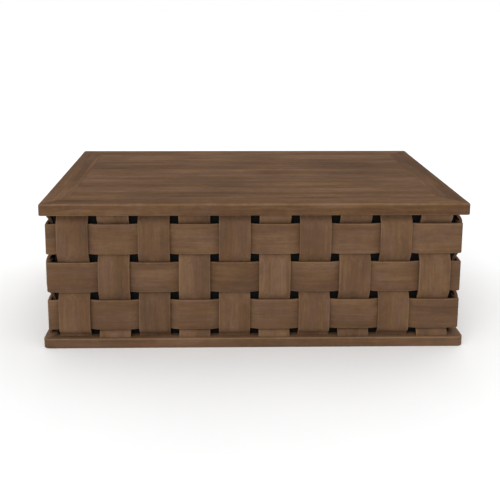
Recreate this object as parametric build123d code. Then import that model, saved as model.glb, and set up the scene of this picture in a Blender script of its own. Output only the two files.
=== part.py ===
"""Low coffee table: a framed plank top and a plinth, with a skirt of wide wooden strips woven round four sides.

Millimetres, +Z up. The origin is on the floor under the middle of the table. +X runs along the long side and the
front faces -Y. Every side is made as if it were the front, then turned round Z into its place.
"""

from build123d import *
import math
import os

# Overall sizes
TABLE_LENGTH = 1220.0
TABLE_DEPTH = 760.0
TABLE_HEIGHT = 430.0
PLINTH_HEIGHT = 29.0
TOP_THICKNESS = 34.0

# Woven strips
STRIP_THICKNESS = 9.0
STRIP_ROUND = 2.75
LAYER_GAP = 0.3
WEAVE_INSET = 5.7
BAND_SWAY = 2.7
END_SWAY = 6.5
BAND_BEND_LEAD = 6.0
SLAT_BEND_LEAD = 14.0
END_BEND_LEAD = 8.0
FRONT_SLATS = 10
SIDE_SLATS = 6
FRONT_SLAT_GAP = 25.0
SIDE_SLAT_GAP = 25.2
CORNER_MARGIN = 46.2
ROW_NAMES = ("bottom", "middle", "top")
ROW_GAP = 24.3
FOOT_GAP = 22.2
HEAD_GAP = 28.6
CORNER_INSET = 10.5
CORNER_ROUND = 9.0
TENON_SHOULDER = 12.0
TENON_THICKNESS = 6.0
TENON_LENGTH = 8.0
TENON_FIT = 0.15

# Top frame and boards
TOP_RAIL_WIDTH = 75.0
TOP_EDGE_ROUND = 6.0
TOP_CORNER_ROUND = 8.0
BOARD_COUNT = 5
BOARD_THICKNESS = 22.0
BOARD_GAP = 0.3
BOARD_EASE = 0.6
TONGUE_LENGTH = 9.0
TONGUE_THICKNESS = 8.0
TONGUE_BELOW_TOP = 8.0
TONGUE_FIT = 0.25

# Plinth
PLINTH_RAIL_WIDTH = 90.0
PLINTH_EDGE_ROUND = 4.0
PLINTH_CORNER_ROUND = 18.0

# Carcass behind the weave
LINER_CLEARANCE = 3.5
LINER_THICKNESS = 9.0
POST_SIZE = 40.0
CLEAT_SIZE = 25.0
BATTEN_WIDTH = 60.0
BATTEN_THICKNESS = 18.0
BATTEN_COUNT = 3
CARCASS_FIT = 0.5

# Mitre splines and screws
SPLINE_THICKNESS = 4.0
SPLINE_DEPTH = 12.0
SPLINE_FIT = 0.1
SPLINE_END_WOOD = 30.0
SCREW_SHANK = 4.5
SCREW_HEAD = 9.0
SCREW_HEAD_HEIGHT = 3.0
SCREW_BITE = 18.0
SCREW_FIT = 0.1
RECESS_DEPTH = 3.5
CLEAT_SCREW_SPACING = 250.0



def bend_room(run, rise, lead):
    """How far apart two crossing strips must stand for one to bend clear of the other's rounded edge. The bend
    runs and rises between its two flats, and starts its lead inside that edge."""
    radius = (run**2 + rise**2) / (4 * rise) - STRIP_THICKNESS / 2 - STRIP_ROUND
    return radius - math.sqrt((radius - LAYER_GAP) ** 2 - (lead - STRIP_ROUND) ** 2)


def settle_slat_sway():
    """How far slats swing each way from the middle of the weave, so that they just clear the bands."""
    sway = STRIP_THICKNESS
    slat_gap = min(FRONT_SLAT_GAP, SIDE_SLAT_GAP)
    corner_run = CORNER_MARGIN - CORNER_INSET - STRIP_THICKNESS + BAND_BEND_LEAD
    for _ in range(40):
        corner_rise = sway + BAND_SWAY + WEAVE_INSET - CORNER_INSET
        end_rise = sway + END_SWAY
        past_bands = max(
            bend_room(ROW_GAP + 2 * SLAT_BEND_LEAD, 2 * sway, SLAT_BEND_LEAD),
            bend_room(FOOT_GAP + END_BEND_LEAD, end_rise, END_BEND_LEAD),
            bend_room(HEAD_GAP + END_BEND_LEAD, end_rise, END_BEND_LEAD),
        )
        past_slats = max(
            bend_room(slat_gap + 2 * BAND_BEND_LEAD, 2 * BAND_SWAY, BAND_BEND_LEAD),
            bend_room(corner_run, corner_rise, BAND_BEND_LEAD),
        )
        sway = STRIP_THICKNESS + past_bands + past_slats - LAYER_GAP - BAND_SWAY
    return sway


# Worked out from the sizes above
TOP_UNDERSIDE = TABLE_HEIGHT - TOP_THICKNESS
ROW_COUNT = len(ROW_NAMES)
WEAVE_HEIGHT = TOP_UNDERSIDE - PLINTH_HEIGHT
BAND_WIDTH = (WEAVE_HEIGHT - FOOT_GAP - HEAD_GAP - (ROW_COUNT - 1) * ROW_GAP) / ROW_COUNT
SLAT_SWAY = settle_slat_sway()
MIDDLE_LEVEL = WEAVE_INSET + STRIP_THICKNESS / 2 + SLAT_SWAY
CORNER_LEVEL = CORNER_INSET + STRIP_THICKNESS / 2
WEAVE_DEPTH = MIDDLE_LEVEL + SLAT_SWAY + STRIP_THICKNESS / 2
LINER_INSET = WEAVE_DEPTH + LINER_CLEARANCE
CLEAT_INSET = LINER_INSET + LINER_THICKNESS
BATTEN_INSET = max(TOP_RAIL_WIDTH, CLEAT_INSET + CLEAT_SIZE) + CARCASS_FIT
TOP_SPLINE_Z = TOP_UNDERSIDE + TOP_THICKNESS / 2
PLINTH_SPLINE_Z = PLINTH_HEIGHT / 2
POST_INSET = CLEAT_INSET + POST_SIZE / 2
SIDES = ("front", "right", "back", "left")
SIDE_RUN = (TABLE_LENGTH, TABLE_DEPTH, TABLE_LENGTH, TABLE_DEPTH)
SIDE_REACH = (TABLE_DEPTH / 2, TABLE_LENGTH / 2, TABLE_DEPTH / 2, TABLE_LENGTH / 2)
SIDE_COUNT = (FRONT_SLATS, SIDE_SLATS, FRONT_SLATS, SIDE_SLATS)
SIDE_GAP = (FRONT_SLAT_GAP, SIDE_SLAT_GAP, FRONT_SLAT_GAP, SIDE_SLAT_GAP)


def band_floor(row):
    """Height of the lower edge of a band."""
    return PLINTH_HEIGHT + FOOT_GAP + row * (BAND_WIDTH + ROW_GAP)


def slat_width(side):
    """Slats share out what the corner margins and the gaps between them leave."""
    count = SIDE_COUNT[side]
    return (SIDE_RUN[side] - 2 * CORNER_MARGIN - (count - 1) * SIDE_GAP[side]) / count


def slat_centre(side, number):
    """Place along its side of one slat, counted from 0 at the side's left end."""
    pitch = slat_width(side) + SIDE_GAP[side]
    return -SIDE_RUN[side] / 2 + CORNER_MARGIN + slat_width(side) / 2 + number * pitch


def slat_leads(side, number, row):
    """True where a slat passes in front of a band. The count runs on round the table, so the weave closes."""
    place = sum(SIDE_COUNT[:side]) + number
    return (place + row) % 2 == 0


def on_side(shape, side):
    """Turns a shape made for the front into its place on another side."""
    return Rot(0, 0, 90 * side) * shape


def swing_points(start, end, offset):
    """The middle and the two ends of one edge of a swing from (station, level) start to end."""
    run = end[0] - start[0]
    turn = 2 * math.atan2(end[1] - start[1], run)
    middle = (
        (start[0] + end[0]) / 2 - offset * math.sin(turn),
        (start[1] + end[1]) / 2 + offset * math.cos(turn),
    )
    return (start[0], start[1] + offset), middle, (end[0], end[1] + offset)


def wave_edge(flats, offset):
    """One long edge of a strip: straight on each flat (start, end, level), and two tangent arcs between flats."""
    edges = []
    for flat, following in zip(flats, flats[1:] + [None]):
        start, end, level = flat
        edges.append(Line((start, level + offset), (end, level + offset)))
        if following is None:
            continue
        if abs(following[2] - level) < LAYER_GAP / 100:
            edges.append(Line((end, level + offset), (following[0], level + offset)))
            continue
        first, middle, last = swing_points((end, level), (following[0], following[2]), offset)
        edges.append(TangentArc(first, middle, tangent=(1, 0)))
        edges.append(TangentArc(last, middle, tangent=(-1, 0)))
    return edges


def wave_strip(flats, width):
    """A strip of one thickness that follows its flats along X, with levels along Y and its width along Z."""
    half = STRIP_THICKNESS / 2
    inner = wave_edge(flats, half)
    outer = wave_edge(flats, -half)
    ends = [Line(inner[0] @ 0, outer[0] @ 0), Line(inner[-1] @ 1, outer[-1] @ 1)]
    outline = make_face([*inner, *outer, *ends])
    strip = extrude(outline, width / 2, both=True)
    cheeks = strip.edges().filter_by_position(Axis.Z, -width / 2, -width / 2)
    cheeks += strip.edges().filter_by_position(Axis.Z, width / 2, width / 2)
    long_edges = [edge for edge in cheeks if edge.bounding_box().size.X > LAYER_GAP]
    return fillet(long_edges, STRIP_ROUND)


def slat_flats(leads):
    """Flats of an upright slat, from the plinth to the top. Beyond the end bands it keeps on swinging."""
    flats = []
    level = MIDDLE_LEVEL + (END_SWAY if leads[0] else -END_SWAY)
    flats.append((PLINTH_HEIGHT - TENON_LENGTH, PLINTH_HEIGHT, level))
    for row, lead in enumerate(leads):
        low = band_floor(row) + (SLAT_BEND_LEAD if row else END_BEND_LEAD)
        is_last = row == ROW_COUNT - 1
        high = band_floor(row) + BAND_WIDTH - (END_BEND_LEAD if is_last else SLAT_BEND_LEAD)
        flats.append((low, high, MIDDLE_LEVEL + (-SLAT_SWAY if lead else SLAT_SWAY)))
    level = MIDDLE_LEVEL + (END_SWAY if leads[-1] else -END_SWAY)
    flats.append((TOP_UNDERSIDE, TOP_UNDERSIDE + TENON_LENGTH, level))
    return flats


def end_levels(side, number):
    """Levels of a slat's foot and head."""
    flats = slat_flats([slat_leads(side, number, row) for row in range(ROW_COUNT)])
    return flats[0][2], flats[-1][2]


def make_slat(side, number):
    """An upright slat with a stub tenon at its foot and its head."""
    flats = slat_flats([slat_leads(side, number, row) for row in range(ROW_COUNT)])
    width = slat_width(side)
    strip = Rot(0, -90, 0) * wave_strip(flats, width)
    foot, head = flats[0][2], flats[-1][2]
    for level, z in ((foot, PLINTH_HEIGHT - TENON_LENGTH / 2), (head, TOP_UNDERSIDE + TENON_LENGTH / 2)):
        block = Pos(0, level, z) * Box(2 * width, 2 * STRIP_THICKNESS, TENON_LENGTH)
        tenon = Pos(0, level, z) * Box(width - 2 * TENON_SHOULDER, TENON_THICKNESS, TENON_LENGTH)
        strip = strip - (block - tenon)
    return Pos(slat_centre(side, number), -SIDE_REACH[side], 0) * strip


def make_mortises(side, top):
    """Blind slots for all the tenons that enter one rail."""
    slots = []
    depth = TENON_LENGTH + TENON_FIT
    width = slat_width(side) - 2 * TENON_SHOULDER + 2 * TENON_FIT
    z = TOP_UNDERSIDE + depth / 2 if top else PLINTH_HEIGHT - depth / 2
    for number in range(SIDE_COUNT[side]):
        level = end_levels(side, number)[1 if top else 0]
        slot = Box(width, TENON_THICKNESS + 2 * TENON_FIT, depth)
        slots.append(Pos(slat_centre(side, number), level - SIDE_REACH[side], z) * slot)
    return slots


def band_flats(side, row):
    """Flats of a band along one side, running past both corners so that they can be mitred."""
    half_run = SIDE_RUN[side] / 2
    half_slat = slat_width(side) / 2
    corner = CORNER_INSET + STRIP_THICKNESS
    flats = [(-half_run, -half_run + corner, CORNER_LEVEL)]
    for number in range(SIDE_COUNT[side]):
        centre = slat_centre(side, number)
        level = MIDDLE_LEVEL + (BAND_SWAY if slat_leads(side, number, row) else -BAND_SWAY)
        flats.append((centre - half_slat + BAND_BEND_LEAD, centre + half_slat - BAND_BEND_LEAD, level))
    flats.append((half_run - corner, half_run, CORNER_LEVEL))
    return flats


def mitre_keep(side, inset, height):
    """The wedge of the plan that belongs to one side, from the outline inwards, for 45 degree corners."""
    run, reach = SIDE_RUN[side] / 2, SIDE_REACH[side]
    outline = Polyline(
        (-run, -reach), (run, -reach), (run - inset, inset - reach), (inset - run, inset - reach), close=True
    )
    return extrude(make_face(outline), height)


def corner_nibs(side, inset, radius, height):
    """What a round corner takes off the two ends of one side."""
    nibs = []
    for end in (-1, 1):
        x = end * (SIDE_RUN[side] / 2 - inset - radius)
        y = inset + radius - SIDE_REACH[side]
        block = Box(4 * radius, 4 * radius, height, align=(Align.CENTER, Align.CENTER, Align.MIN))
        quarter = Pos(x + end * 2 * radius, y - 2 * radius, 0) * block
        round_post = Pos(x, y, 0) * Cylinder(radius, height, align=(Align.CENTER, Align.CENTER, Align.MIN))
        nibs.append(quarter - round_post)
    return nibs


def make_band(side, row):
    """A level band over and under the slats of one side, mitred and rounded at the corners."""
    strip = wave_strip(band_flats(side, row), BAND_WIDTH)
    strip = Pos(0, -SIDE_REACH[side], band_floor(row) + BAND_WIDTH / 2) * strip
    strip = strip & mitre_keep(side, WEAVE_DEPTH, TABLE_HEIGHT)
    for nib in corner_nibs(side, CORNER_INSET, CORNER_ROUND, TABLE_HEIGHT):
        strip = strip - nib
    return strip


def framed_rail(side, width, low, high, corner_round, edge_round):
    """A mitred rail of a frame round the whole outline, with a rounded corner and a rounded upper outer edge."""
    height = high - low
    plate = Pos(0, 0, low) * extrude(RectangleRounded(TABLE_LENGTH, TABLE_DEPTH, corner_round), height)
    rim = plate.edges().group_by(Axis.Z)[-1]
    plate = fillet(rim, edge_round)
    turned = Rot(0, 0, -90 * side) * plate
    return turned & (Pos(0, 0, low) * mitre_keep(side, width, height))


def spline_block(side, end, width, z, fit):
    """A loose tongue across the mitre at one end of a side. It stops short of the outer and inner corners."""
    length = width * math.sqrt(2) - 2 * SPLINE_END_WOOD
    block = Box(length, 2 * (SPLINE_DEPTH + fit), SPLINE_THICKNESS + 2 * fit)
    x = end * (SIDE_RUN[side] / 2 - width / 2)
    return Pos(x, width / 2 - SIDE_REACH[side], z) * (Rot(0, 0, -45 * end) * block)


def make_top_rail(side):
    """A rail of the top: slat mortises below, a groove for the boards, and slots for the mitre splines."""
    rail = framed_rail(
        side, TOP_RAIL_WIDTH, TOP_UNDERSIDE, TABLE_HEIGHT, TOP_CORNER_ROUND, TOP_EDGE_ROUND
    )
    groove_height = TONGUE_THICKNESS + 2 * TONGUE_FIT
    groove_depth = TONGUE_LENGTH + TONGUE_FIT
    groove = Box(SIDE_RUN[side] - 2 * (TOP_RAIL_WIDTH - groove_depth), 2 * groove_depth, groove_height)
    z = TABLE_HEIGHT - TONGUE_BELOW_TOP - TONGUE_THICKNESS / 2
    rail = rail - Pos(0, TOP_RAIL_WIDTH - SIDE_REACH[side], z) * groove
    for slot in make_mortises(side, True):
        rail = rail - slot
    for end in (-1, 1):
        rail = rail - spline_block(side, end, TOP_RAIL_WIDTH, TOP_SPLINE_Z, SPLINE_FIT)
    for hole in cleat_screw_spots(side):
        rail = rail - make_screw(hole, SCREW_FIT)
    return rail


def make_plinth_rail(side):
    """A rail of the plinth, lying flat, with slat mortises in its upper face."""
    rail = framed_rail(side, PLINTH_RAIL_WIDTH, 0, PLINTH_HEIGHT, PLINTH_CORNER_ROUND, PLINTH_EDGE_ROUND)
    for slot in make_mortises(side, False):
        rail = rail - slot
    for end in (-1, 1):
        rail = rail - spline_block(side, end, PLINTH_RAIL_WIDTH, PLINTH_SPLINE_Z, SPLINE_FIT)
    for spot in post_screw_spots(side):
        rail = rail - make_screw(spot, SCREW_FIT)
        rail = rail - recess(spot)
    return rail


def make_splines():
    """Eight loose tongues, one across each mitre of the top and of the plinth."""
    splines = []
    for side in range(len(SIDES)):
        for width, z in ((TOP_RAIL_WIDTH, TOP_SPLINE_Z), (PLINTH_RAIL_WIDTH, PLINTH_SPLINE_Z)):
            splines.append(on_side(spline_block(side, 1, width, z, 0), side))
    return splines


def make_boards():
    """Boards along X between the rails, flush with them, tongued into the grooves all round."""
    boards = []
    length = TABLE_LENGTH - 2 * TOP_RAIL_WIDTH - 2 * BOARD_GAP
    width = board_width()
    tongue_z = TABLE_HEIGHT - TONGUE_BELOW_TOP - TONGUE_THICKNESS / 2
    for number in range(BOARD_COUNT):
        y = board_centre(number)
        board = Box(length, width, BOARD_THICKNESS)
        board = chamfer(board.edges().group_by(Axis.Z)[-1], BOARD_EASE)
        board = Pos(0, y, TABLE_HEIGHT - BOARD_THICKNESS / 2) * board
        tongue = Pos(0, y, tongue_z) * Box(length + 2 * TONGUE_LENGTH, width, TONGUE_THICKNESS)
        board = board + tongue
        if number in (0, BOARD_COUNT - 1):
            outward = -1 if number == 0 else 1
            edge = Box(length, TONGUE_LENGTH, TONGUE_THICKNESS)
            board = board + Pos(0, y + outward * (width + TONGUE_LENGTH) / 2, tongue_z) * edge
        boards.append(board)
    for spot in batten_screw_spots():
        hole = make_screw(spot, SCREW_FIT)
        boards = [board - hole for board in boards]
    return boards


def make_battens():
    """Flat battens across the underside of the boards, clear of the front and back rails and cleats."""
    battens = []
    length = TABLE_DEPTH - 2 * BATTEN_INSET
    z = TABLE_HEIGHT - BOARD_THICKNESS - BATTEN_THICKNESS / 2
    for number in range(BATTEN_COUNT):
        battens.append(Pos(batten_centre(number), 0, z) * Box(BATTEN_WIDTH, length, BATTEN_THICKNESS))
    for spot in batten_screw_spots():
        hole = make_screw(spot, SCREW_FIT) + recess(spot)
        battens = [batten - hole for batten in battens]
    return battens


def make_liner(side):
    """A thin dark panel close behind the weave. The long ones run past the ends of the short ones."""
    is_long = side % 2 == 0
    inset = LINER_INSET if is_long else LINER_INSET + LINER_THICKNESS
    length = SIDE_RUN[side] - 2 * inset
    y = LINER_INSET + LINER_THICKNESS / 2 - SIDE_REACH[side]
    return Pos(0, y, PLINTH_HEIGHT + WEAVE_HEIGHT / 2) * Box(length, LINER_THICKNESS, WEAVE_HEIGHT)


def make_posts():
    """Four square posts in the corners of the liner, standing on the plinth and carrying the top."""
    posts = []
    for x in (-1, 1):
        for y in (-1, 1):
            spot = Pos(x * (TABLE_LENGTH / 2 - POST_INSET), y * (TABLE_DEPTH / 2 - POST_INSET), 0)
            post = Pos(0, 0, PLINTH_HEIGHT + WEAVE_HEIGHT / 2) * Box(POST_SIZE, POST_SIZE, WEAVE_HEIGHT)
            posts.append(spot * post)
    for side in range(len(SIDES)):
        for spot in post_screw_spots(side):
            hole = on_side(make_screw(spot, SCREW_FIT), side)
            posts = [post - hole for post in posts]
    return posts


def make_cleat(side):
    """A square cleat under the top, along the inside of one liner panel and between two posts."""
    length = SIDE_RUN[side] - 2 * (POST_INSET + POST_SIZE / 2 + CARCASS_FIT)
    y = CLEAT_INSET + CLEAT_SIZE / 2 - SIDE_REACH[side]
    cleat = Pos(0, y, TOP_UNDERSIDE - CLEAT_SIZE / 2) * Box(length, CLEAT_SIZE, CLEAT_SIZE)
    for spot in cleat_screw_spots(side):
        cleat = cleat - make_screw(spot, SCREW_FIT) - recess(spot)
    return cleat


def cleat_screw_spots(side):
    """Head centre and through length of each screw that pulls one rail down on its cleat."""
    room = SIDE_RUN[side] - 2 * (POST_INSET + POST_SIZE)
    count = max(2, round(room / CLEAT_SCREW_SPACING))
    y = CLEAT_INSET + CLEAT_SIZE / 2 - SIDE_REACH[side]
    z = TOP_UNDERSIDE - CLEAT_SIZE + RECESS_DEPTH
    through = CLEAT_SIZE - RECESS_DEPTH
    return [((n + 0.5) * room / count - room / 2, y, z, through) for n in range(count)]


def post_screw_spots(side):
    """One screw up through each end of a long plinth rail into the post above, clear of the mitre spline."""
    if side % 2:
        return []
    x = SIDE_RUN[side] / 2 - POST_INSET - SPLINE_DEPTH
    y = POST_INSET - SPLINE_DEPTH - SIDE_REACH[side]
    return [(end * x, y, RECESS_DEPTH, PLINTH_HEIGHT - RECESS_DEPTH) for end in (-1, 1)]


def board_width():
    """Width that each board shows."""
    return (TABLE_DEPTH - 2 * TOP_RAIL_WIDTH - (BOARD_COUNT + 1) * BOARD_GAP) / BOARD_COUNT


def board_centre(number):
    """Place along Y of one board, counted from 0 at the front."""
    return (number - (BOARD_COUNT - 1) / 2) * (board_width() + BOARD_GAP)


def batten_centre(number):
    """Place along X of one batten, counted from 0 at the left."""
    return (number - (BATTEN_COUNT - 1) / 2) * (TABLE_LENGTH - 2 * TOP_RAIL_WIDTH) / BATTEN_COUNT


def batten_screw_spots():
    """One screw through each batten into each board."""
    z = TABLE_HEIGHT - BOARD_THICKNESS - BATTEN_THICKNESS + RECESS_DEPTH
    through = BATTEN_THICKNESS - RECESS_DEPTH
    spots = []
    for batten in range(BATTEN_COUNT):
        for board in range(BOARD_COUNT):
            spots.append((batten_centre(batten), board_centre(board), z, through))
    return spots


def make_screw(spot, fit):
    """A flat-headed screw pointing up from the middle of its head, grown by fit all round for its hole."""
    x, y, z, through = spot
    low = (Align.CENTER, Align.CENTER, Align.MIN)
    shank = Cylinder(SCREW_SHANK / 2 + fit, through + SCREW_BITE + fit, align=low)
    head = Cylinder(SCREW_HEAD / 2 + fit, SCREW_HEAD_HEIGHT + fit, align=low)
    return Pos(x, y, z) * (shank + head)


def recess(spot):
    """The counterbore below a screw head."""
    x, y, z, _ = spot
    low = (Align.CENTER, Align.CENTER, Align.MAX)
    return Pos(x, y, z) * Cylinder(SCREW_HEAD / 2 + SCREW_FIT, RECESS_DEPTH, align=low)


def make_screws():
    """Every screw of the table."""
    screws = []
    for side in range(len(SIDES)):
        for spot in cleat_screw_spots(side) + post_screw_spots(side):
            screws.append(on_side(make_screw(spot, 0), side))
    return screws + [make_screw(spot, 0) for spot in batten_screw_spots()]


def write(name, solids):
    """Writes one node from one solid or a list of separate solids."""
    shape = Compound(children=solids) if isinstance(solids, list) else solids
    export_step(shape, f"parts/{name}.step")


def main():
    os.makedirs("parts", exist_ok=True)
    for side, side_name in enumerate(SIDES):
        for number in range(SIDE_COUNT[side]):
            write(f"{side_name}_slat_{number + 1:02d}", on_side(make_slat(side, number), side))
        for row, row_name in enumerate(ROW_NAMES):
            write(f"{row_name}_band_{side_name}", on_side(make_band(side, row), side))
        write(f"top_rail_{side_name}", on_side(make_top_rail(side), side))
        write(f"plinth_rail_{side_name}", on_side(make_plinth_rail(side), side))
    write("top_boards", make_boards())
    write("top_battens", make_battens())
    write("liner_panels", [on_side(make_liner(side), side) for side in range(len(SIDES))])
    write("corner_posts", make_posts())
    write("top_cleats", [on_side(make_cleat(side), side) for side in range(len(SIDES))])
    write("mitre_splines", make_splines())
    write("screws", make_screws())


main()
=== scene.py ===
"""The looks of a low table with a basket-woven skirt of wide wooden strips, built round its CAD model.

Metres, +Z up, with the origin on the floor under the middle of the table. The front faces -Y. Every side is
made as if it were the front and then turned round Z into its place.
"""

import math
import random

import bpy
from mathutils import Matrix, Vector


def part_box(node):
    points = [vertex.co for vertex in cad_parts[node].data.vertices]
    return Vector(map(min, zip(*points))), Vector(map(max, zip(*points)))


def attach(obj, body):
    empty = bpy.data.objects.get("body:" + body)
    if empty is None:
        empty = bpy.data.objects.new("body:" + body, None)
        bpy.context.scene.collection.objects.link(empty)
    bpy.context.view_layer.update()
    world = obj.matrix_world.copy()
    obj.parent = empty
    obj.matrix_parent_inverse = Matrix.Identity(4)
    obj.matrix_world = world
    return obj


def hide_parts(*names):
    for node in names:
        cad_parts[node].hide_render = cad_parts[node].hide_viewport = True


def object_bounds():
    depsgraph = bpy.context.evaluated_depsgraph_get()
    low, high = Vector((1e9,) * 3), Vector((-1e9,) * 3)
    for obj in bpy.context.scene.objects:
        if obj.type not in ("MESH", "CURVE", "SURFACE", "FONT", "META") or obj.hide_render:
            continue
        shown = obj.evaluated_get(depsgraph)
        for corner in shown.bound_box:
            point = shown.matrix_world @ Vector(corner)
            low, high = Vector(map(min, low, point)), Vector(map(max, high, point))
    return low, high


bl_info = {
    "name": "Woven strip table",
    "version": (1, 0, 0),
    "blender": (4, 5, 0),
    "location": "View3D > Sidebar > Woven Table",
    "description": "Makes the strips, top, plinth, wood finishes and studio of a woven strip table",
    "category": "Add Mesh",
}

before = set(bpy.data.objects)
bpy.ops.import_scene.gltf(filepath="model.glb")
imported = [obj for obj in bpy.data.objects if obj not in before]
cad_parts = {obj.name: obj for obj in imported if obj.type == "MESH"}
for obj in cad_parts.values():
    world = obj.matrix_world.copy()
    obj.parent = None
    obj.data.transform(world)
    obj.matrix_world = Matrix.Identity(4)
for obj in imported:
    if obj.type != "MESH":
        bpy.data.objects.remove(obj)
CAD_LOW, CAD_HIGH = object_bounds()
MM = 0.001
BODY = "root"

SIDES = ("front", "right", "back", "left")
ROWS = ("bottom", "middle", "top")
# The axis that each side's level wood runs along.
GRAIN = ("X", "Y", "X", "Y")
LENGTH, DEPTH = CAD_HIGH.x - CAD_LOW.x, CAD_HIGH.y - CAD_LOW.y
RUN = (LENGTH, DEPTH, LENGTH, DEPTH)
REACH = (DEPTH / 2, LENGTH / 2, DEPTH / 2, LENGTH / 2)
SLAT_NODES = [sorted(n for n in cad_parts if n.startswith(f"{side}_slat_")) for side in SIDES]
PLINTH_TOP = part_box("plinth_rail_front")[1].z
TOP_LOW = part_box("top_rail_front")[0].z
TENON = PLINTH_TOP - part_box("front_slat_01")[0].z
TENON_SHOULDER = 12 * MM
TENON_HALF = 3 * MM
BOARD_COUNT = 5
# Play on either side of a board.
BOARD_GAP = 0.15 * MM
# Radii of the outer low, inner low and inner high edges of a rail.
TOP_RAIL_EDGES = (2.0 * MM, 0.3 * MM, 0.5 * MM)
PLINTH_RAIL_EDGES = (1.5 * MM, 0.5 * MM, 0.5 * MM)
# Radius of an edge that is only just broken.
HARD_EDGE = 0.2 * MM
# Rough step between two rings of a rail or a board.
RAIL_SPACING = 60 * MM
SHARP_ANGLE = math.radians(35)
SEED = 7
# Furthest that the grain of a piece is shifted from its place, in metres.
GRAIN_SHIFT = 9

# Waves of each layer of wood figure to a metre: along the grain, across it and through it.
WANDER_WAVES = (3, 5, 5)
FIGURE_WAVES = (1.6, 26, 26)
STREAK_WAVES = (5, 120, 120)
FIBRE_WAVES = (28, 620, 620)
PORE_WAVES = (70, 1300, 1300)
CLOUD_WAVES = (5, 9, 9)
WARMTH_WAVES = (9, 30, 30)
HANDLING_WAVES = 42
# How far the grain wanders sideways.
WANDER = 30 * MM
PORE_DEPTH = 0.25 * MM
# Contrast, lift and gloss of the top's wood. The lift of -0.1 is painted shade: it darkens the top's colour
# because the top is seen in brighter light than the sides.
TOP_WOOD_SHADED = (1.3, -0.1, 0.03)


# ---------------------------------------------------------------- settings


class WOVEN_Strips(bpy.types.PropertyGroup):
    """Sizes of the woven strips"""

    thickness: bpy.props.FloatProperty(
        name="Strip thickness",
        description="Thickness of every woven strip",
        default=9.0 * MM,
        min=4 * MM,
        max=20 * MM,
        subtype="DISTANCE",
        unit="LENGTH",
    )
    edge_round: bpy.props.FloatProperty(
        name="Edge rounding",
        description="Radius of the long edges of a strip",
        default=2.75 * MM,
        min=0.5 * MM,
        max=5 * MM,
        subtype="DISTANCE",
        unit="LENGTH",
    )
    band_lead: bpy.props.FloatProperty(
        name="Band bend lead",
        description="How far inside the edge of a slat a band starts to bend",
        default=6.0 * MM,
        min=3 * MM,
        max=15 * MM,
        subtype="DISTANCE",
        unit="LENGTH",
    )
    slat_lead: bpy.props.FloatProperty(
        name="Slat bend lead",
        description="How far inside the edge of a band a slat starts to bend",
        default=14.0 * MM,
        min=3 * MM,
        max=30 * MM,
        subtype="DISTANCE",
        unit="LENGTH",
    )
    end_lead: bpy.props.FloatProperty(
        name="End bend lead",
        description="How far inside the lowest and highest bands a slat starts its last bends",
        default=8.0 * MM,
        min=3 * MM,
        max=15 * MM,
        subtype="DISTANCE",
        unit="LENGTH",
    )
    end_sway: bpy.props.FloatProperty(
        name="End sway",
        description="How far the feet and heads of the slats stand off the middle of the weave",
        default=6.5 * MM,
        min=0,
        max=9 * MM,
        subtype="DISTANCE",
        unit="LENGTH",
    )
    corner_round: bpy.props.FloatProperty(
        name="Corner rounding",
        description="Radius, seen from above, where the bands meet at a corner",
        default=9 * MM,
        min=1 * MM,
        max=12 * MM,
        subtype="DISTANCE",
        unit="LENGTH",
    )


class WOVEN_Frames(bpy.types.PropertyGroup):
    """Sizes of the edges of the top and the plinth"""

    top_edge: bpy.props.FloatProperty(
        name="Top edge rounding",
        description="Radius of the upper outer edge of the top",
        default=6 * MM,
        min=1 * MM,
        max=15 * MM,
        subtype="DISTANCE",
        unit="LENGTH",
    )
    top_corner: bpy.props.FloatProperty(
        name="Top corner rounding",
        description="Radius of the corners of the top, seen from above",
        default=8 * MM,
        min=1 * MM,
        max=30 * MM,
        subtype="DISTANCE",
        unit="LENGTH",
    )
    plinth_edge: bpy.props.FloatProperty(
        name="Plinth edge rounding",
        description="Radius of the upper outer edge of the plinth",
        default=4 * MM,
        min=1 * MM,
        max=15 * MM,
        subtype="DISTANCE",
        unit="LENGTH",
    )
    plinth_corner: bpy.props.FloatProperty(
        name="Plinth corner rounding",
        description="Radius of the corners of the plinth, seen from above",
        default=18 * MM,
        min=1 * MM,
        max=40 * MM,
        subtype="DISTANCE",
        unit="LENGTH",
    )
    board_ease: bpy.props.FloatProperty(
        name="Board edge easing",
        description="Radius of the upper edges of each board",
        default=0.9 * MM,
        min=0.2 * MM,
        max=3 * MM,
        subtype="DISTANCE",
        unit="LENGTH",
    )


class WOVEN_Finish(bpy.types.PropertyGroup):
    """Colours and sheen of the stained wood"""

    dark: bpy.props.FloatVectorProperty(
        name="Dark wood",
        description="Colour of the darkest grain",
        default=(0.074, 0.040, 0.022),
        min=0,
        max=1,
        subtype="COLOR",
    )
    middle: bpy.props.FloatVectorProperty(
        name="Wood",
        description="Overall colour of the stained wood",
        default=(0.122, 0.067, 0.037),
        min=0,
        max=1,
        subtype="COLOR",
    )
    # The light colour also paints the highlight on rounded edges, together with their rubbed wear.
    light: bpy.props.FloatVectorProperty(
        name="Light wood",
        description="Colour of the lightest grain and of rubbed edges",
        default=(0.190, 0.112, 0.064),
        min=0,
        max=1,
        subtype="COLOR",
    )
    cool_tint: bpy.props.FloatVectorProperty(
        name="Cool tint",
        description="Tint of the greyer patches of the stain",
        default=(0.97, 0.965, 1.0),
        min=0,
        max=1,
        subtype="COLOR",
    )
    warm_tint: bpy.props.FloatVectorProperty(
        name="Warm tint",
        description="Tint of the golden patches of the stain",
        default=(1.0, 0.965, 0.84),
        min=0,
        max=1,
        subtype="COLOR",
    )
    roughness: bpy.props.FloatProperty(
        name="Roughness",
        description="Roughness of the matt lacquer",
        default=0.74,
        min=0.1,
        max=1,
        subtype="FACTOR",
    )


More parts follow.
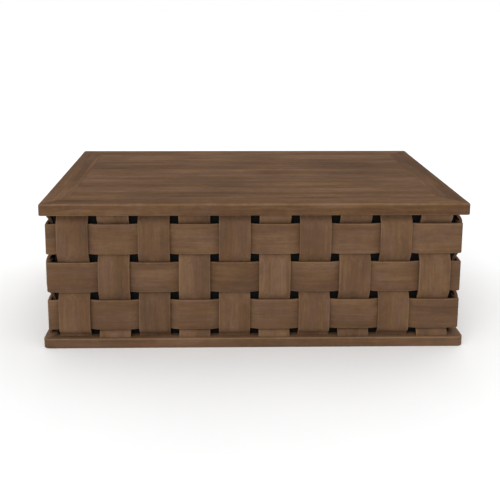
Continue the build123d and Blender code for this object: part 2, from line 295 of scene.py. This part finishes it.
class WOVEN_Studio(bpy.types.PropertyGroup):
    """Floor and light"""

    floor: bpy.props.FloatVectorProperty(
        name="Floor",
        description="Colour of the floor",
        default=(0.90, 0.90, 0.90),
        min=0,
        max=1,
        subtype="COLOR",
    )
    sky: bpy.props.FloatProperty(
        name="Surrounding light",
        description="Strength of the even light from all round",
        default=1.0,
        min=0,
        max=3,
    )
    key: bpy.props.FloatProperty(
        name="Key light",
        description="Strength of the wide soft light from the front left",
        default=0.9,
        min=0,
        max=10,
    )


SETTINGS = {
    "woven_strips": WOVEN_Strips,
    "woven_frames": WOVEN_Frames,
    "woven_finish": WOVEN_Finish,
    "woven_studio": WOVEN_Studio,
}


# ---------------------------------------------------------------- shader maths


class Signal:
    """A shader socket. Arithmetic on it adds Math nodes, so a material reads as a formula."""

    def __init__(self, recipe, socket):
        self.recipe, self.socket = recipe, socket

    def maths(self, operation, *values):
        return self.recipe.node("ShaderNodeMath", {"operation": operation}, dict(enumerate(values)))

    def __add__(self, other):
        return self.maths("ADD", self, other)

    def __radd__(self, other):
        return self.maths("ADD", other, self)

    def __sub__(self, other):
        return self.maths("SUBTRACT", self, other)

    def __rsub__(self, other):
        return self.maths("SUBTRACT", other, self)

    def __mul__(self, other):
        return self.maths("MULTIPLY", self, other)

    def __rmul__(self, other):
        return self.maths("MULTIPLY", other, self)

    def ramp(self, low, high):
        """0 below low, 1 above high, and smooth between them."""
        settings = {"interpolation_type": "SMOOTHSTEP"}
        inputs = {"Value": self, "From Min": low, "From Max": high}
        return self.recipe.node("ShaderNodeMapRange", settings, inputs)


class Recipe:
    """One material's node tree."""

    def __init__(self, name):
        self.material = bpy.data.materials.new(name)
        self.material.use_nodes = True
        self.tree = self.material.node_tree
        self.tree.nodes.clear()

    def node(self, kind, settings=None, inputs=None, output=0):
        """Adds a node, first its settings, then the values or links of its sockets.

        Gives the one output that is asked for, or a list of all of them when output is None."""
        made = self.tree.nodes.new(kind)
        for name, value in (settings or {}).items():
            if name == "stops":
                self.set_stops(made.color_ramp, value)
            else:
                setattr(made, name, value)
        for name, value in (inputs or {}).items():
            if isinstance(value, Signal):
                self.tree.links.new(value.socket, made.inputs[name])
            else:
                made.inputs[name].default_value = value
        if output is None:
            return [Signal(self, socket) for socket in made.outputs]
        return Signal(self, made.outputs[output])

    def set_stops(self, ramp, stops):
        """Sets a colour ramp from (position, colour) pairs."""
        while len(ramp.elements) < len(stops):
            ramp.elements.new(1)
        for element, (position, colour) in zip(ramp.elements, stops):
            element.position = position
            element.color = (*colour, 1)

    def noise(self, place, scale, detail=3, roughness=0.55, distortion=0):
        """Soft random values round 0.5."""
        inputs = {"Vector": place, "Scale": scale, "Detail": detail}
        inputs.update({"Roughness": roughness, "Distortion": distortion})
        return self.node("ShaderNodeTexNoise", {"noise_dimensions": "3D"}, inputs)

    def stretched(self, place, factors):
        """A place multiplied axis by axis."""
        return self.node("ShaderNodeVectorMath", {"operation": "MULTIPLY"}, {0: place, 1: factors})

    def finish(self, colour, roughness, height, bump, distance, constants):
        """Closes the recipe with one shader, and gives the material."""
        relief = {"Strength": bump, "Distance": distance, "Height": height}
        normal = self.node("ShaderNodeBump", {}, relief)
        inputs = {"Base Color": colour, "Roughness": roughness, "Normal": normal, **constants}
        shader = self.node("ShaderNodeBsdfPrincipled", {}, inputs)
        self.node("ShaderNodeOutputMaterial", {}, {"Surface": shader}, None)
        return self.material


def grain_place(recipe, along):
    """Object coordinates turned so that the grain runs along the first axis, shifted from piece to piece."""
    place = recipe.node("ShaderNodeTexCoord", output="Object")
    shift = recipe.node("ShaderNodeAttribute", {"attribute_name": "piece_shift"}, output="Vector")
    moved = recipe.node("ShaderNodeVectorMath", {"operation": "ADD"}, {0: place, 1: shift})
    x, y, z = recipe.node("ShaderNodeSeparateXYZ", {}, {0: moved}, None)
    order = {"X": (x, y, z), "Y": (y, x, z), "Z": (z, x, y)}[along]
    return recipe.node("ShaderNodeCombineXYZ", {}, dict(enumerate(order)))


def stained_wood(name, along, contrast=1.0, lift=0.0, sheen=0.14):
    """Brown stained hardwood under a matt lacquer, with the grain along one axis.

    Figure, streaks, fibres, clouds and handling add up to a level from 0 to 1, which picks the colour
    of the stain. Pores darken it. Rounded edges are lightened, partly as rubbed wear and partly as a painted
    highlight."""
    look = bpy.context.scene.woven_finish
    recipe = Recipe(name)
    place = grain_place(recipe, along)
    tone = recipe.node("ShaderNodeAttribute", {"attribute_name": "piece_tone"}, output="Fac")
    # Rubbed wear and a painted highlight along the rounded edges.
    edge = recipe.node("ShaderNodeAttribute", {"attribute_name": "rubbed_edge"}, output="Fac")
    wander = recipe.noise(recipe.stretched(place, WANDER_WAVES), 1, 2)
    sideways = recipe.node("ShaderNodeCombineXYZ", {}, {1: wander, 2: wander})
    shifts = {0: sideways, 1: (0, WANDER, WANDER), 2: place}
    wavy = recipe.node("ShaderNodeVectorMath", {"operation": "MULTIPLY_ADD"}, shifts)
    figure = recipe.noise(recipe.stretched(wavy, FIGURE_WAVES), 1, 3, 0.5, 0.4)
    streaks = recipe.noise(recipe.stretched(wavy, STREAK_WAVES), 1, 4, 0.6)
    fibres = recipe.noise(recipe.stretched(wavy, FIBRE_WAVES), 1, 3, 0.65)
    pores = recipe.noise(recipe.stretched(place, PORE_WAVES), 1, 2, 0.5).ramp(0.60, 0.72)
    clouds = recipe.noise(recipe.stretched(place, CLOUD_WAVES), 1, 3, 0.5)
    handled = recipe.noise(place, HANDLING_WAVES, 4, 0.6)
    level = 0.5 + lift + (figure - 0.5) * (0.62 * contrast) + (streaks - 0.5) * (0.55 * contrast)
    level = level + (fibres - 0.5) * (0.42 * contrast) + (clouds - 0.5) * 0.75 + (tone - 0.5) * 0.16
    # Rounded edges are lightened: rubbed wear plus a painted highlight.
    level = level + (handled - 0.5) * 0.36 - pores * 0.14 + edge * (0.18 + handled * 0.34)
    stops = [(0.12, look.dark), (0.5, look.middle), (0.92, look.light)]
    stained = recipe.node("ShaderNodeValToRGB", {"stops": stops}, {"Fac": level})
    warmth = recipe.noise(recipe.stretched(place, WARMTH_WAVES), 1, 3, 0.6).ramp(0.35, 0.65)
    tints = [(0.0, look.cool_tint), (1.0, look.warm_tint)]
    tint = recipe.node("ShaderNodeValToRGB", {"stops": tints}, {"Fac": warmth})
    colour = recipe.node("ShaderNodeVectorMath", {"operation": "MULTIPLY"}, {0: stained, 1: tint})
    roughness = look.roughness + (streaks - 0.5) * 0.16 + (handled - 0.5) * 0.12
    roughness = roughness + pores * 0.12 - edge * 0.05
    height = fibres * 0.30 + streaks * 0.45 - pores * 0.8 + handled * 0.25
    constants = {"Specular IOR Level": sheen, "IOR": 1.46}
    return recipe.finish(colour, roughness, height, 0.42, PORE_DEPTH, constants)


def black_stain_and_shade(name):
    """Thin backing panel stained near black, with a little grain and dust. The near-black also paints the
    shade seen inside the weave's gaps and under the top.
    """
    recipe = Recipe(name)
    place = grain_place(recipe, "Z")
    grain = recipe.noise(recipe.stretched(place, (6, 150, 150)), 1, 4, 0.6)
    dust = recipe.noise(place, 30, 4, 0.6)
    stops = [(0.3, (0.002, 0.002, 0.002)), (0.8, (0.010, 0.009, 0.008))]
    colour = recipe.node("ShaderNodeValToRGB", {"stops": stops}, {"Fac": grain * 0.6 + dust * 0.4})
    roughness = 0.72 + (dust - 0.5) * 0.25
    return recipe.finish(colour, roughness, grain, 0.3, 0.2 * MM, {"Specular IOR Level": 0.15})


def plain_softwood(name):
    """Unfinished pale wood of the inner carcass."""
    recipe = Recipe(name)
    place = grain_place(recipe, "X")
    rings = recipe.noise(recipe.stretched(place, (2, 40, 40)), 1, 3, 0.5, 0.6)
    fibres = recipe.noise(recipe.stretched(place, (20, 500, 500)), 1, 3, 0.6)
    stops = [(0.25, (0.34, 0.20, 0.10)), (0.55, (0.50, 0.33, 0.18)), (0.85, (0.60, 0.43, 0.26))]
    colour = recipe.node("ShaderNodeValToRGB", {"stops": stops}, {"Fac": rings * 0.7 + fibres * 0.3})
    roughness = 0.68 + (fibres - 0.5) * 0.2
    return recipe.finish(colour, roughness, fibres, 0.4, 0.2 * MM, {"Specular IOR Level": 0.3})


def zinc_steel(name):
    """Zinc plated screw steel with fine turning marks and dull patches."""
    recipe = Recipe(name)
    place = recipe.node("ShaderNodeTexCoord", output="Object")
    marks = recipe.noise(recipe.stretched(place, (200, 200, 2600)), 1, 3, 0.6)
    patches = recipe.noise(place, 160, 3, 0.6)
    stops = [(0.3, (0.40, 0.41, 0.42)), (0.75, (0.66, 0.66, 0.64))]
    colour = recipe.node("ShaderNodeValToRGB", {"stops": stops}, {"Fac": patches})
    roughness = 0.32 + (marks - 0.5) * 0.2 + (patches - 0.5) * 0.2
    return recipe.finish(colour, roughness, marks, 0.25, 0.05 * MM, {"Metallic": 1.0})


def pale_floor(name):
    """Matt studio floor with a very faint unevenness."""
    recipe = Recipe(name)
    place = recipe.node("ShaderNodeTexCoord", output="Object")
    drift = recipe.noise(place, 1.5, 3, 0.5)
    grit = recipe.noise(place, 240, 3, 0.6)
    floor = bpy.context.scene.woven_studio.floor
    shade = [(0.3, [c * 0.97 for c in floor]), (0.7, floor)]
    colour = recipe.node("ShaderNodeValToRGB", {"stops": shade}, {"Fac": drift})
    roughness = 0.8 + (grit - 0.5) * 0.1
    return recipe.finish(colour, roughness, grit, 0.05, 0.1 * MM, {"Specular IOR Level": 0.2})


def get_material(name, maker, *values):
    """A material is made once and then shared."""
    return bpy.data.materials.get(name) or maker(name, *values)


def wood_along(axis, part, *finish):
    """The stained wood of one kind of part, with the grain along an axis."""
    return get_material(f"{part}_grain_{axis}", stained_wood, axis, *finish)


# ---------------------------------------------------------------- shapes


def edge_profile(height, radii, steps=4, flats=5):
    """Outline of a section, as (anchor, across, up, edge wear and painted highlight).

    Across is measured from the outer face when anchor is 0, and from the inner face when it is 1. Radii are
    for outer low, inner low, inner high and outer high."""
    corners = (
        (0, radii[0], radii[0], 180),
        (1, -radii[1], radii[1], 270),
        (1, -radii[2], height - radii[2], 0),
        (0, radii[3], height - radii[3], 90),
    )
    profile = []
    for index, (anchor, across, up, start) in enumerate(corners):
        for step in range(steps + 1):
            share = step / steps
            angle = math.radians(start + 90 * share)
            # Rubbed wear and painted highlight, strongest halfway round each rounded edge.
            rubbed_and_highlighted = math.sin(math.pi * share) ** 0.5
            inwards = across + radii[index] * math.cos(angle)
            profile.append((anchor, inwards, up + radii[index] * math.sin(angle), rubbed_and_highlighted))
        if index in (1, 3):
            profile += face_points(corners, radii, index, flats)
    return profile


def face_points(corners, radii, index, flats):
    """Points up the inner face, or down the outer face, between its two rounded edges."""
    anchor, across, up, _ = corners[index]
    following = corners[(index + 1) % 4]
    outward = radii[index] if anchor else -radii[index]
    points = []
    for step in range(1, flats):
        share = step / flats
        points.append((anchor, across + outward, up + (following[2] - up) * share, 0.0))
    return points


def ring(outer, inner, profile):
    """Points of a section that stands on the line from outer to inner."""
    step = inner - outer
    unit = step.normalized()
    points = []
    for anchor, across, up, _ in profile:
        spot = outer + step * anchor + unit * across
        points.append((spot.x, spot.y, up))
    return points


def swing(start, end, steps):
    """Middle line of two tangent arcs from start to end, as (place, heading)."""
    run, rise = end.x - start.x, end.y - start.y
    turn = 2 * math.atan2(rise, run)
    radius = (run * run + rise * rise) / (4 * rise)
    half = []
    for step in range(1, steps + 1):
        angle = turn * step / steps
        half.append((Vector((radius * math.sin(angle), radius * (1 - math.cos(angle)))), angle))
    first = [(start + offset, angle) for offset, angle in half]
    second = [(end - offset, angle) for offset, angle in reversed(half[:-1])]
    return first + second


def strip_sections(flats, thickness, spacing=22 * MM, swing_steps=6):
    """Outer and inner points along a strip that is flat on each (start, end, level) and swings between."""
    middle = []
    for index, (start, end, level) in enumerate(flats):
        count = max(1, round((end - start) / spacing))
        for step in range(count + 1):
            middle.append((Vector((start + (end - start) * step / count, level)), 0.0))
        if index + 1 < len(flats):
            following = flats[index + 1]
            middle += swing(Vector((end, level)), Vector((following[0], following[2])), swing_steps)
    sections = []
    for place, heading in middle:
        normal = Vector((-math.sin(heading), math.cos(heading))) * (thickness / 2)
        sections.append((place - normal, place + normal))
    return sections


def corner_sections(side, end, inset, depth, radius, steps=6, leads=3):
    """Outer and inner points from where a side is still straight to the mitre at one end of it."""
    inner = inset + depth
    lead = 0.4 * MM
    pairs = []
    for step in range(leads):
        share = step / leads
        x = inner + (inset + radius - inner) * share
        pairs.append(((x, inset), (inner + lead * (1 - share), inner)))
    for step in range(steps + 1):
        angle = math.radians(45 * step / steps)
        x = inset + radius * (1 - math.sin(angle))
        y = inset + radius * (1 - math.cos(angle))
        pairs.append(((x, y), (inner, inner)))
    sections = []
    for outer_place, inner_place in pairs:
        points = [Vector((end * (RUN[side] / 2 - x), y)) for x, y in (outer_place, inner_place)]
        sections.append(tuple(points))
    return sections if end > 0 else sections[::-1]


def loft(rings, rubbed_and_highlighted):
    """Vertices, faces, and edge wear with painted highlight, of a closed skin over rings of equal length,
    capped at both ends.
    """
    vertices = [point for one in rings for point in one]
    size = len(rings[0])
    faces = []
    for index in range(len(rings) - 1):
        low, high = index * size, (index + 1) * size
        for step in range(size):
            after = (step + 1) % size
            faces.append((low + step, low + after, high + after, high + step))
    faces.append(tuple(range(size))[::-1])
    last = (len(rings) - 1) * size
    faces.append(tuple(range(last, last + size)))
    return vertices, faces, [value for _ in rings for value in rubbed_and_highlighted]


def add_piece(name, skin, side, material, node, chance):
    """A mesh object from the (vertices, faces, edge wear and painted highlight) of a front piece, turned to
    its own side.
    """
    vertices, faces, rubbed_and_highlighted = skin
    mesh = bpy.data.meshes.new(name)
    mesh.from_pydata(vertices, [], faces)
    mesh.transform(Matrix.Rotation(math.radians(90 * side), 4, "Z"))
    mesh.validate()
    make_outward(mesh)
    mesh.polygons.foreach_set("use_smooth", [True] * len(mesh.polygons))
    mesh.set_sharp_from_angle(angle=SHARP_ANGLE)
    # Edge wear and painted highlight, which lighten the wood's colour.
    wear_highlight_layer = mesh.attributes.new("rubbed_edge", "FLOAT", "POINT")
    wear_highlight_layer.data.foreach_set("value", rubbed_and_highlighted)
    tone = mesh.attributes.new("piece_tone", "FLOAT", "POINT")
    tone.data.foreach_set("value", [chance.uniform(0, 1)] * len(rubbed_and_highlighted))
    shift = mesh.attributes.new("piece_shift", "FLOAT_VECTOR", "POINT")
    moved = [chance.uniform(-GRAIN_SHIFT, GRAIN_SHIFT) for _ in range(3)]
    shift.data.foreach_set("vector", moved * len(rubbed_and_highlighted))
    mesh.materials.append(material)
    piece = bpy.data.objects.new(name, mesh)
    bpy.context.scene.collection.objects.link(piece)
    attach(piece, BODY)
    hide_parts(node)


def make_outward(mesh):
    """Turns every face outwards, by the sign of the volume."""
    volume = 0.0
    for face in mesh.polygons:
        corners = [mesh.vertices[i].co for i in face.vertices]
        for second, third in zip(corners[1:], corners[2:]):
            volume += corners[0].dot(second.cross(third))
    if volume < 0:
        mesh.flip_normals()


def local_box(node, side):
    """A node's box turned back to the front, with Y measured inwards from the outline."""
    back = Matrix.Rotation(math.radians(-90 * side), 3, "Z")
    low, high = (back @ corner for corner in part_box(node))
    lowest = Vector([min(a, b) for a, b in zip(low, high)])
    highest = Vector([max(a, b) for a, b in zip(low, high)])
    inward = Vector((0, REACH[side], 0))
    return lowest + inward, highest + inward


def slat_leads(side, number, row):
    """True where a slat passes in front of a band."""
    place = sum(len(nodes) for nodes in SLAT_NODES[:side]) + number
    return (place + row) % 2 == 0


def weave_levels(thickness):
    """Middle of the weave, and how far slats and bands swing from it, measured inwards from the outline."""
    low, high = local_box("front_slat_01", 0)
    middle = (low.y + high.y) / 2
    deepest = local_box("top_band_front", 0)[1].y
    return middle, high.y - thickness / 2 - middle, deepest - thickness / 2 - middle


def as_upright(point, centre, side):
    """From (height, inwards, across) to the front's X, Y and Z."""
    return (centre + point[2], point[1] - REACH[side], point[0])


# ---------------------------------------------------------------- pieces


def slat_rings(side, number, strips):
    """Rings of one upright slat, with its two stub tenons."""
    low, high = local_box(SLAT_NODES[side][number], side)
    middle, sway, _ = weave_levels(strips.thickness)
    width, centre = high.x - low.x, (low.x + high.x) / 2
    leads = [slat_leads(side, number, row) for row in range(len(ROWS))]
    flats = [(PLINTH_TOP, PLINTH_TOP, middle + (strips.end_sway if leads[0] else -strips.end_sway))]
    for row, name in enumerate(ROWS):
        band_low, band_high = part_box(f"{name}_band_{SIDES[side]}")
        start = band_low.z + (strips.slat_lead if row else strips.end_lead)
        end = band_high.z - (strips.end_lead if name == ROWS[-1] else strips.slat_lead)
        flats.append((start, end, middle - sway if leads[row] else middle + sway))
    flats.append((TOP_LOW, TOP_LOW, middle + (strips.end_sway if leads[-1] else -strips.end_sway)))
    profile = edge_profile(width, (strips.edge_round,) * 4)
    rings = [ring(a, b, profile) for a, b in strip_sections(flats, strips.thickness)]
    rings = [[as_upright((x, y, up - width / 2), centre, side) for x, y, up in one] for one in rings]
    foot = tenon_rings(rings[0], flats[0][2] - REACH[side], centre, width, -TENON)
    head = tenon_rings(rings[-1], flats[-1][2] - REACH[side], centre, width, TENON)
    return foot[::-1] + rings + head, [rubbed_and_highlighted for *_, rubbed_and_highlighted in profile]


def tenon_rings(last, level, centre, width, length):
    """The last ring drawn in to a stub tenon, and the tenon's end."""
    half = width / 2 - TENON_SHOULDER
    shoulder = []
    for x, y, z in last:
        across = max(-half, min(half, x - centre))
        inwards = max(-TENON_HALF, min(TENON_HALF, y - level))
        shoulder.append((centre + across, level + inwards, z))
    return [shoulder, [(x, y, z + length) for x, y, z in shoulder]]


def level_rings(side, bottom, sections, profile):
    """Rings of a level piece that follows its sections, and the edge wear and painted highlight of each
    point of a ring.
    """
    rings = [ring(outer, inner, profile) for outer, inner in sections]
    moved = [[(x, y - REACH[side], up + bottom) for x, y, up in one] for one in rings]
    return moved, [rubbed_and_highlighted for *_, rubbed_and_highlighted in profile]


def band_rings(side, row, strips):
    """Rings of one level band, from mitre to mitre."""
    thickness, lead = strips.thickness, strips.band_lead
    middle, _, sway = weave_levels(thickness)
    low, high = local_box(f"{ROWS[row]}_band_{SIDES[side]}", side)
    inset = low.x + RUN[side] / 2
    corner = inset + thickness
    flats = [(-RUN[side] / 2 + corner, -RUN[side] / 2 + corner, inset + thickness / 2)]
    for number, node in enumerate(SLAT_NODES[side]):
        slat_low, slat_high = local_box(node, side)
        level = middle + sway if slat_leads(side, number, row) else middle - sway
        flats.append((slat_low.x + lead, slat_high.x - lead, level))
    flats.append((RUN[side] / 2 - corner, RUN[side] / 2 - corner, inset + thickness / 2))
    sections = corner_sections(side, -1, inset, thickness, strips.corner_round)
    sections += strip_sections(flats, thickness)[1:-1]
    sections += corner_sections(side, 1, inset, thickness, strips.corner_round)
    profile = edge_profile(high.z - low.z, (strips.edge_round,) * 4)
    return level_rings(side, low.z, sections, profile)


def rail_rings(side, node, radii, corner):
    """Rings of one mitred rail, from mitre to mitre."""
    low, high = local_box(node, side)
    depth = high.y - low.y
    sections = corner_sections(side, -1, 0.0, depth, corner)
    start, end = depth - RUN[side] / 2, RUN[side] / 2 - depth
    count = round((end - start) / RAIL_SPACING)
    for step in range(1, count):
        x = start + (end - start) * step / count
        sections.append((Vector((x, 0)), Vector((x, depth))))
    sections += corner_sections(side, 1, 0.0, depth, corner)
    profile = edge_profile(high.z - low.z, radii, 6, 3)
    return level_rings(side, low.z, sections, profile)


def board_rings(low, high, ease):
    """Rings of one board, with eased upper edges and ends."""
    profile = edge_profile(high.z - low.z, (HARD_EDGE, HARD_EDGE, ease, ease), 3, 1)
    count = round((high.x - low.x) / RAIL_SPACING)
    rings = []
    for step in range(count + 1):
        x = low.x + (high.x - low.x) * step / count
        rings.append(board_ring(x, low, high, profile, 0.0))
    for end, inward in ((0, 1), (-1, -1)):
        x = rings[end][0][0]
        rings[end] = board_ring(x + inward * ease, low, high, profile, 0.0)
        tip = board_ring(x, low, high, profile, ease)
        rings = [tip] + rings if end == 0 else rings + [tip]
    return rings, [rubbed_and_highlighted for *_, rubbed_and_highlighted in profile]


def board_ring(x, low, high, profile, drawn_in):
    """One ring of a board, drawn in from the top and the two long edges."""
    points = []
    for anchor, across, up, _ in profile:
        y = low.y + (high.y - low.y) * anchor + across
        y = max(low.y + drawn_in, min(high.y - drawn_in, y))
        points.append((x, y, min(low.z + up, high.z - drawn_in)))
    return points


def boards_space():
    """Lowest and highest corners of the space inside the top rails, less the play round it."""
    rails = {name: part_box(f"top_rail_{name}") for name in SIDES}
    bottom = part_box("top_boards")[0].z
    low = Vector((rails["left"][1].x + BOARD_GAP, rails["front"][1].y + BOARD_GAP, bottom))
    high = Vector((rails["right"][0].x - BOARD_GAP, rails["back"][0].y - BOARD_GAP, rails["front"][1].z))
    return low, high


class WOVEN_OT_slats(bpy.types.Operator):
    """Make the upright slats of all four sides"""

    bl_idname = "woven.slats"
    bl_label = "Make upright slats"

    def execute(self, context):
        if not all(SLAT_NODES):
            raise RuntimeError("A side of the table has no slats")
        chance = random.Random(SEED)
        finish = wood_along("Z", "slat_wood")
        for side, nodes in enumerate(SLAT_NODES):
            for number, node in enumerate(nodes):
                rings, rubbed_and_highlighted = slat_rings(side, number, context.scene.woven_strips)
                name = f"woven_slat_{SIDES[side]}_{number + 1:02d}"
                add_piece(name, loft(rings, rubbed_and_highlighted), side, finish, node, chance)
        return {"FINISHED"}


class WOVEN_OT_bands(bpy.types.Operator):
    """Make the level bands of all four sides"""

    bl_idname = "woven.bands"
    bl_label = "Make level bands"

    def execute(self, context):
        chance = random.Random(SEED + 1)
        for side, side_name in enumerate(SIDES):
            finish = wood_along(GRAIN[side], "band_wood")
            for row, row_name in enumerate(ROWS):
                rings, rubbed_and_highlighted = band_rings(side, row, context.scene.woven_strips)
                name = f"woven_band_{row_name}_{side_name}"
                node = f"{row_name}_band_{side_name}"
                add_piece(name, loft(rings, rubbed_and_highlighted), side, finish, node, chance)
        return {"FINISHED"}


class WOVEN_OT_top_rails(bpy.types.Operator):
    """Make the four mitred rails of the top"""

    bl_idname = "woven.top_rails"
    bl_label = "Make top rails"

    def execute(self, context):
        chance = random.Random(SEED + 2)
        frames = context.scene.woven_frames
        radii = (*TOP_RAIL_EDGES, frames.top_edge)
        for side, side_name in enumerate(SIDES):
            node = f"top_rail_{side_name}"
            rings, rubbed_and_highlighted = rail_rings(side, node, radii, frames.top_corner)
            finish = wood_along(GRAIN[side], "top_wood", *TOP_WOOD_SHADED)
            add_piece(f"{node}_shaped", loft(rings, rubbed_and_highlighted), side, finish, node, chance)
        return {"FINISHED"}


class WOVEN_OT_plinth(bpy.types.Operator):
    """Make the four mitred rails of the plinth"""

    bl_idname = "woven.plinth"
    bl_label = "Make plinth"

    def execute(self, context):
        chance = random.Random(SEED + 3)
        frames = context.scene.woven_frames
        radii = (*PLINTH_RAIL_EDGES, frames.plinth_edge)
        for side, side_name in enumerate(SIDES):
            node = f"plinth_rail_{side_name}"
            rings, rubbed_and_highlighted = rail_rings(side, node, radii, frames.plinth_corner)
            finish = wood_along(GRAIN[side], "plinth_wood")
            add_piece(f"{node}_shaped", loft(rings, rubbed_and_highlighted), side, finish, node, chance)
        return {"FINISHED"}


class WOVEN_OT_boards(bpy.types.Operator):
    """Make the boards of the top, flush with its rails"""

    bl_idname = "woven.boards"
    bl_label = "Make top boards"

    def execute(self, context):
        chance = random.Random(SEED + 4)
        ease = context.scene.woven_frames.board_ease
        low, high = boards_space()
        pitch = (high.y - low.y + 2 * BOARD_GAP) / BOARD_COUNT
        finish = wood_along("X", "top_wood", *TOP_WOOD_SHADED)
        for number in range(BOARD_COUNT):
            start = Vector((low.x, low.y + number * pitch, low.z))
            end = Vector((high.x, start.y + pitch - 2 * BOARD_GAP, high.z))
            rings, rubbed_and_highlighted = board_rings(start, end, ease)
            name = f"top_board_{number + 1}"
            add_piece(name, loft(rings, rubbed_and_highlighted), 0, finish, "top_boards", chance)
        return {"FINISHED"}


class WOVEN_OT_carcass(bpy.types.Operator):
    """Finish the inner pieces, which keep their CAD shape"""

    bl_idname = "woven.carcass"
    bl_label = "Finish inner pieces"

    def execute(self, context):
        finishes = {
            # The liner's near-black stain also paints the shade inside the weave.
            "liner_panels": ("black_liner_stain", black_stain_and_shade),
            "corner_posts": ("carcass_softwood", plain_softwood),
            "top_cleats": ("carcass_softwood", plain_softwood),
            "top_battens": ("carcass_softwood", plain_softwood),
            "mitre_splines": ("carcass_softwood", plain_softwood),
            "screws": ("zinc_plated_steel", zinc_steel),
        }
        for node, (name, maker) in finishes.items():
            material = get_material(name, maker)
            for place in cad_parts[node].material_slots:
                place.material = material
        return {"FINISHED"}


# ---------------------------------------------------------------- studio

# The camera's turn is in degrees and its lens and sensor are in millimetres.
CAMERA_PLACE = (-0.1095, -2.4219, 0.9922)
CAMERA_TURN = (90 - 9.766, -0.189, -1.196)
CAMERA_LENS = 54.08
CAMERA_SENSOR = 36
CAMERA_SHIFT = (0.035, -0.24)
# The key light shines from the front left, and a weaker one from behind. Spreads are in degrees.
KEY_TOWARDS = (0.35, 0.8, -0.62)
KEY_SPREAD = 50
BACK_TOWARDS = (-0.3, -0.7, -0.75)
BACK_SPREAD = 60
BACK_SHARE = 0.4
# Half the width of the floor, in metres.
FLOOR_HALF = 60.0


def add_light(name, towards, strength, spread):
    """A distant soft light that shines in one direction."""
    lamp = bpy.data.lights.new(name, "SUN")
    lamp.energy = strength
    lamp.angle = math.radians(spread)
    light = bpy.data.objects.new(name, lamp)
    light.rotation_euler = Vector(towards).to_track_quat("-Z", "Y").to_euler()
    bpy.context.scene.collection.objects.link(light)


def add_even_light(strength):
    """White light from all round."""
    world = bpy.data.worlds.new("even_light")
    world.use_nodes = True
    background = world.node_tree.nodes["Background"]
    background.inputs["Color"].default_value = (1, 1, 1, 1)
    background.inputs["Strength"].default_value = strength
    bpy.context.scene.world = world


def add_floor():
    """A pale floor that reaches far past the table."""
    half = FLOOR_HALF
    corners = [(-half, -half, 0), (half, -half, 0), (half, half, 0), (-half, half, 0)]
    mesh = bpy.data.meshes.new("studio_floor")
    mesh.from_pydata(corners, [], [(0, 1, 2, 3)])
    mesh.materials.append(get_material("pale_floor", pale_floor))
    floor = bpy.data.objects.new("studio_floor", mesh)
    bpy.context.scene.collection.objects.link(floor)


def add_camera():
    """The camera that sees the front from a little above and left of its middle."""
    eye = bpy.data.cameras.new("camera")
    eye.lens = CAMERA_LENS
    eye.sensor_width = CAMERA_SENSOR
    eye.shift_x, eye.shift_y = CAMERA_SHIFT
    camera = bpy.data.objects.new("camera", eye)
    camera.location = CAMERA_PLACE
    camera.rotation_euler = [math.radians(turn) for turn in CAMERA_TURN]
    bpy.context.scene.collection.objects.link(camera)
    bpy.context.scene.camera = camera


class WOVEN_OT_studio(bpy.types.Operator):
    """Make the floor, the soft light and the camera"""

    bl_idname = "woven.studio"
    bl_label = "Make studio"

    def execute(self, context):
        studio = context.scene.woven_studio
        add_floor()
        add_even_light(studio.sky)
        add_light("key_light", KEY_TOWARDS, studio.key, KEY_SPREAD)
        add_light("back_light", BACK_TOWARDS, studio.key * BACK_SHARE, BACK_SPREAD)
        add_camera()
        context.scene.view_settings.view_transform = "Standard"
        return {"FINISHED"}


class WOVEN_PT_panel(bpy.types.Panel):
    """Lists the table's makers"""

    bl_idname = "WOVEN_PT_panel"
    bl_label = "Woven strip table"
    bl_space_type = "VIEW_3D"
    bl_region_type = "UI"
    bl_category = "Woven Table"

    def draw(self, context):
        for group in SETTINGS:
            settings = getattr(context.scene, group)
            box = self.layout.box()
            for name in settings.__annotations__:
                box.prop(settings, name)
        for operator in OPERATORS:
            self.layout.operator(operator.bl_idname)


OPERATORS = (
    WOVEN_OT_studio,
    WOVEN_OT_slats,
    WOVEN_OT_bands,
    WOVEN_OT_top_rails,
    WOVEN_OT_boards,
    WOVEN_OT_plinth,
    WOVEN_OT_carcass,
)


def register():
    for group, settings in SETTINGS.items():
        bpy.utils.register_class(settings)
        setattr(bpy.types.Scene, group, bpy.props.PointerProperty(type=settings))
    for operator in OPERATORS:
        bpy.utils.register_class(operator)
    bpy.utils.register_class(WOVEN_PT_panel)


def unregister():
    bpy.utils.unregister_class(WOVEN_PT_panel)
    for operator in reversed(OPERATORS):
        bpy.utils.unregister_class(operator)
    for group, settings in SETTINGS.items():
        delattr(bpy.types.Scene, group)
        bpy.utils.unregister_class(settings)


def main():
    register()
    bpy.ops.woven.studio()
    bpy.ops.woven.slats()
    bpy.ops.woven.bands()
    bpy.ops.woven.top_rails()
    bpy.ops.woven.boards()
    bpy.ops.woven.plinth()
    bpy.ops.woven.carcass()


if __name__ == "__main__":
    main()
